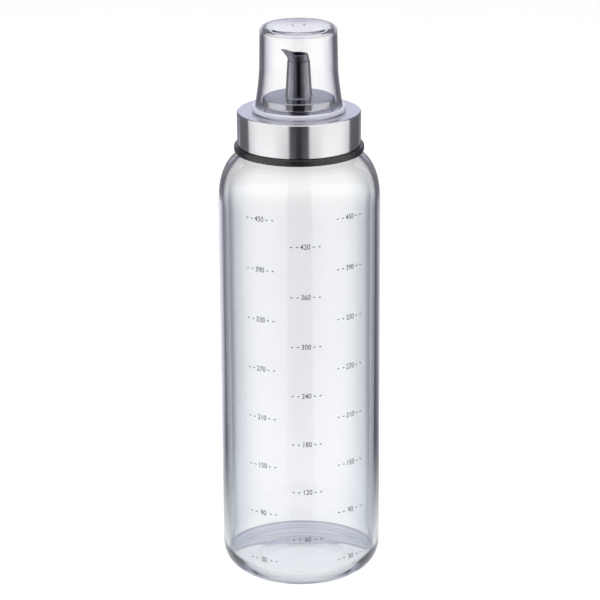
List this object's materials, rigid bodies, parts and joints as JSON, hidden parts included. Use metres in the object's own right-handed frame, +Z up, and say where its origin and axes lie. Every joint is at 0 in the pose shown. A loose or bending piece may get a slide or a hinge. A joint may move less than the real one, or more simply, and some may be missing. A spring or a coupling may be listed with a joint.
{
  "type": "oil cruet",
  "caption": "Tall round glass oil bottle with a screw lid clad in brushed steel, a beaked steel pouring spout and a clear lift-off dust cap.",
  "frame": {"origin": "middle of the bottle's foot, on the surface that it stands on", "axes": "+Z up the bottle's axis; the spout's beak points to -X; the middle of the printed scale faces -Y"},
  "size_m": [0.065, 0.065, 0.2291],
  "materials": {
    "clear_glass": "clear, fire-polished, printed with a dark grey volume scale",
    "black_plastic": "moulded, fine matt",
    "brushed_steel": "satin, brushed round the axis",
    "polished_steel": "polished stainless steel",
    "chromed_plastic": "bright chrome plating on moulded plastic",
    "silicone": "translucent white silicone",
    "clear_plastic": "clear, polished, with a faint violet tint at thick edges"
  },
  "bodies": {
    "bottle": {"glass_bottle": "clear_glass"},
    "seal": {"lid_seal": "silicone"},
    "lid": {"lid_core": "black_plastic", "lid_shell": "brushed_steel", "spout_cover": "polished_steel", "spout_insert": "chromed_plastic", "spout_seal": "silicone"},
    "cap": {"dust_cap": "clear_plastic"}
  },
  "joints": [
    {"name": "lid_rise", "type": "slide", "parent": "bottle", "child": "seal", "axis": [0, 0, 1], "range_m": [0, 0.0147]},
    {"name": "lid_turn", "type": "hinge", "parent": "seal", "child": "lid", "pos_m": [0, 0, 0.1785], "axis": [0, 0, 1], "range_deg": [0, 1260]},
    {"name": "cap_lift", "type": "slide", "parent": "lid", "child": "cap", "axis": [0, 0, 1], "range_m": [0, 0.03]}
  ],
  "couplings": [
    {"joint": "lid_rise", "follows": "lid_turn", "m_per_rad": 0.00066845}
  ]
}
